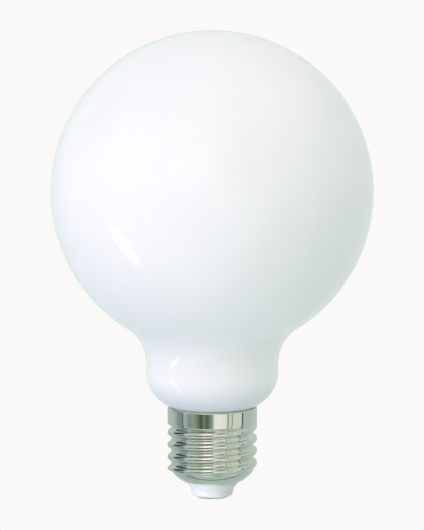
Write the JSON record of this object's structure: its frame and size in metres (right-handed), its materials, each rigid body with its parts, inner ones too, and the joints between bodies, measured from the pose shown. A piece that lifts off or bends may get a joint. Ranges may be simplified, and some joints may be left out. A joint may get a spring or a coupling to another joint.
{
  "type": "globe bulb",
  "caption": "Opal glass globe lamp on a short neck, with a rolled metal screw cap, a white insulator and a flat centre contact.",
  "frame": {"origin": "centre of the centre contact's flat face, at the cap end of the lamp", "axes": "+Z along the lamp's axis from the contact to the top of the globe; the picture's camera looks along +Y, with +X to the right"},
  "size_m": [0.095, 0.095, 0.1384],
  "materials": {
    "opal_glass": "glossy opal white",
    "nickel_plate": "bright nickel plate",
    "white_insulator": "satin white moulding",
    "contact_metal": "tinned, lightly scuffed"
  },
  "bodies": {
    "root": {"glass_globe": "opal_glass", "cap_shell": "nickel_plate", "insulator": "white_insulator", "centre_contact": "contact_metal"}
  },
  "joints": []
}
